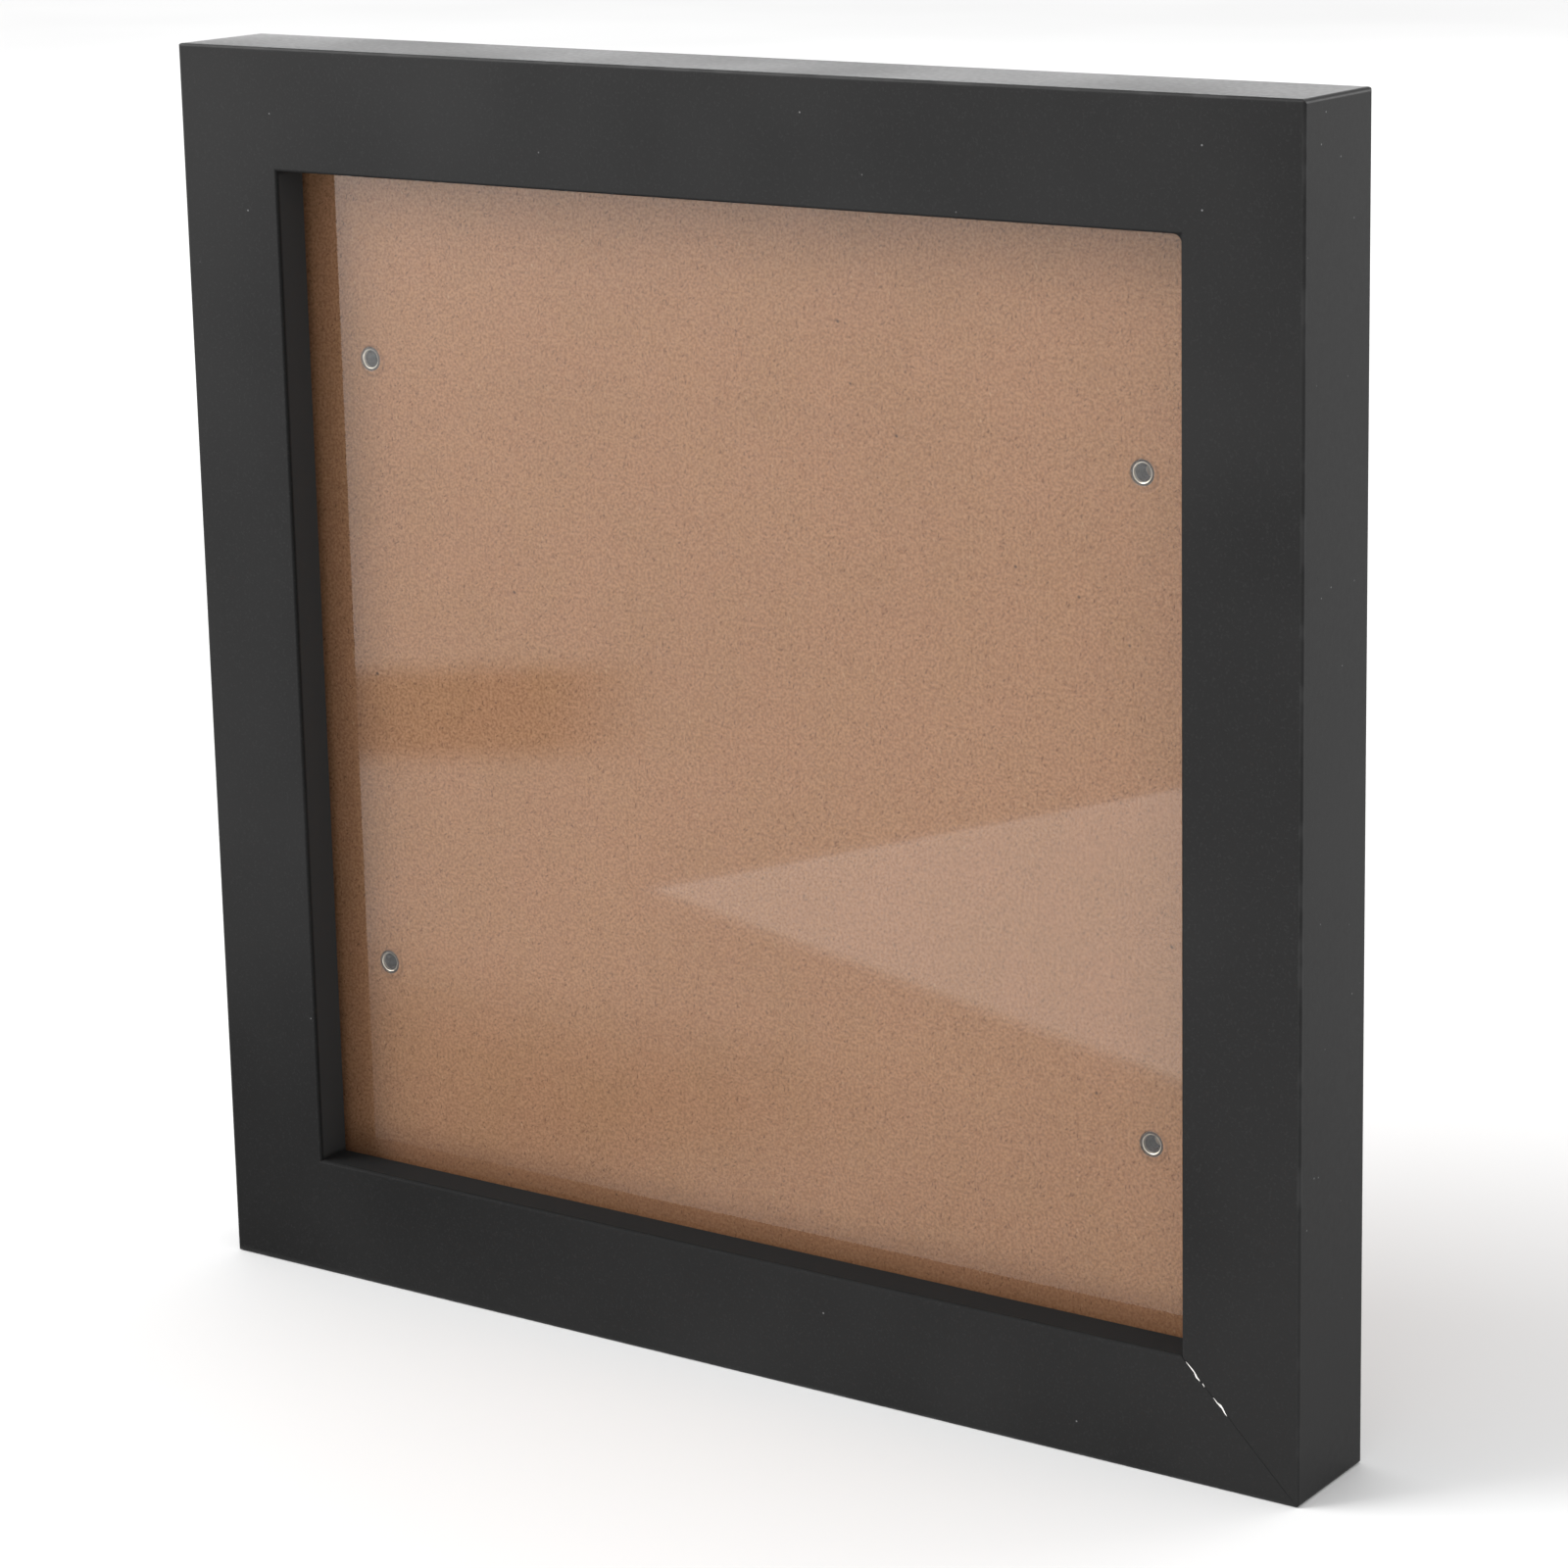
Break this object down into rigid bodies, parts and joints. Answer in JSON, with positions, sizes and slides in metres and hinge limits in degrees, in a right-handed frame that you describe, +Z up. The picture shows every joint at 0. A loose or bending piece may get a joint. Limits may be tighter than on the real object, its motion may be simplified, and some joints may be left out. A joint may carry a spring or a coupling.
{
  "type": "shadow box",
  "caption": "Square mitred frame with a glass pane behind its lip, a fibreboard back held by riveted turn clips, and a toothed hanging plate.",
  "frame": {"origin": "middle of the flat bottom face that the box stands on, halfway between the frame's front and rear faces", "axes": "+Z up, +Y towards the rear so that the glass front faces -Y, +X to the right as seen from the front"},
  "size_m": [0.23, 0.0237, 0.23],
  "materials": {
    "black_paint": "satin black paint over fibreboard moulding",
    "clear_glass": "clear float glass, polished",
    "fibreboard": "bare medium-density fibreboard, fine dark flecks",
    "rivet_nickel": "nickel plate, bright",
    "clip_steel": "zinc-plated spring steel, satin",
    "nail_steel": "plain steel, driven flush",
    "hanger_zinc": "bright zinc plate"
  },
  "bodies": {
    "frame": {"rail_bottom": "black_paint", "rail_left": "black_paint", "rail_top": "black_paint", "rail_right": "black_paint", "corner_nails_bl": "nail_steel", "corner_nails_tl": "nail_steel", "corner_nails_tr": "nail_steel", "corner_nails_br": "nail_steel", "glass_pane": "clear_glass", "sawtooth_hanger": "hanger_zinc", "hanger_nails": "nail_steel"},
    "back": {"back_panel": "fibreboard", "rivet_tl": "rivet_nickel", "rivet_tr": "rivet_nickel", "rivet_bl": "rivet_nickel", "rivet_br": "rivet_nickel"},
    "turn_clip_tl": {"clip_tl": "clip_steel"},
    "turn_clip_tr": {"clip_tr": "clip_steel"},
    "turn_clip_bl": {"clip_bl": "clip_steel"},
    "turn_clip_br": {"clip_br": "clip_steel"}
  },
  "joints": [
    {"name": "back_lift_out", "type": "slide", "parent": "frame", "child": "back", "axis": [0, 1, 0], "range_m": [0, 0.03]},
    {"name": "clip_turn_tl", "type": "hinge", "parent": "back", "child": "turn_clip_tl", "pos_m": [-0.0806, 0.0025, 0.1738], "axis": [0, 1, 0], "continuous": true},
    {"name": "clip_turn_tr", "type": "hinge", "parent": "back", "child": "turn_clip_tr", "pos_m": [0.0806, 0.0025, 0.1676], "axis": [0, -1, 0], "continuous": true},
    {"name": "clip_turn_bl", "type": "hinge", "parent": "back", "child": "turn_clip_bl", "pos_m": [-0.082, 0.0025, 0.0602], "axis": [0, 1, 0], "continuous": true},
    {"name": "clip_turn_br", "type": "hinge", "parent": "back", "child": "turn_clip_br", "pos_m": [0.082, 0.0025, 0.054], "axis": [0, -1, 0], "continuous": true}
  ]
}
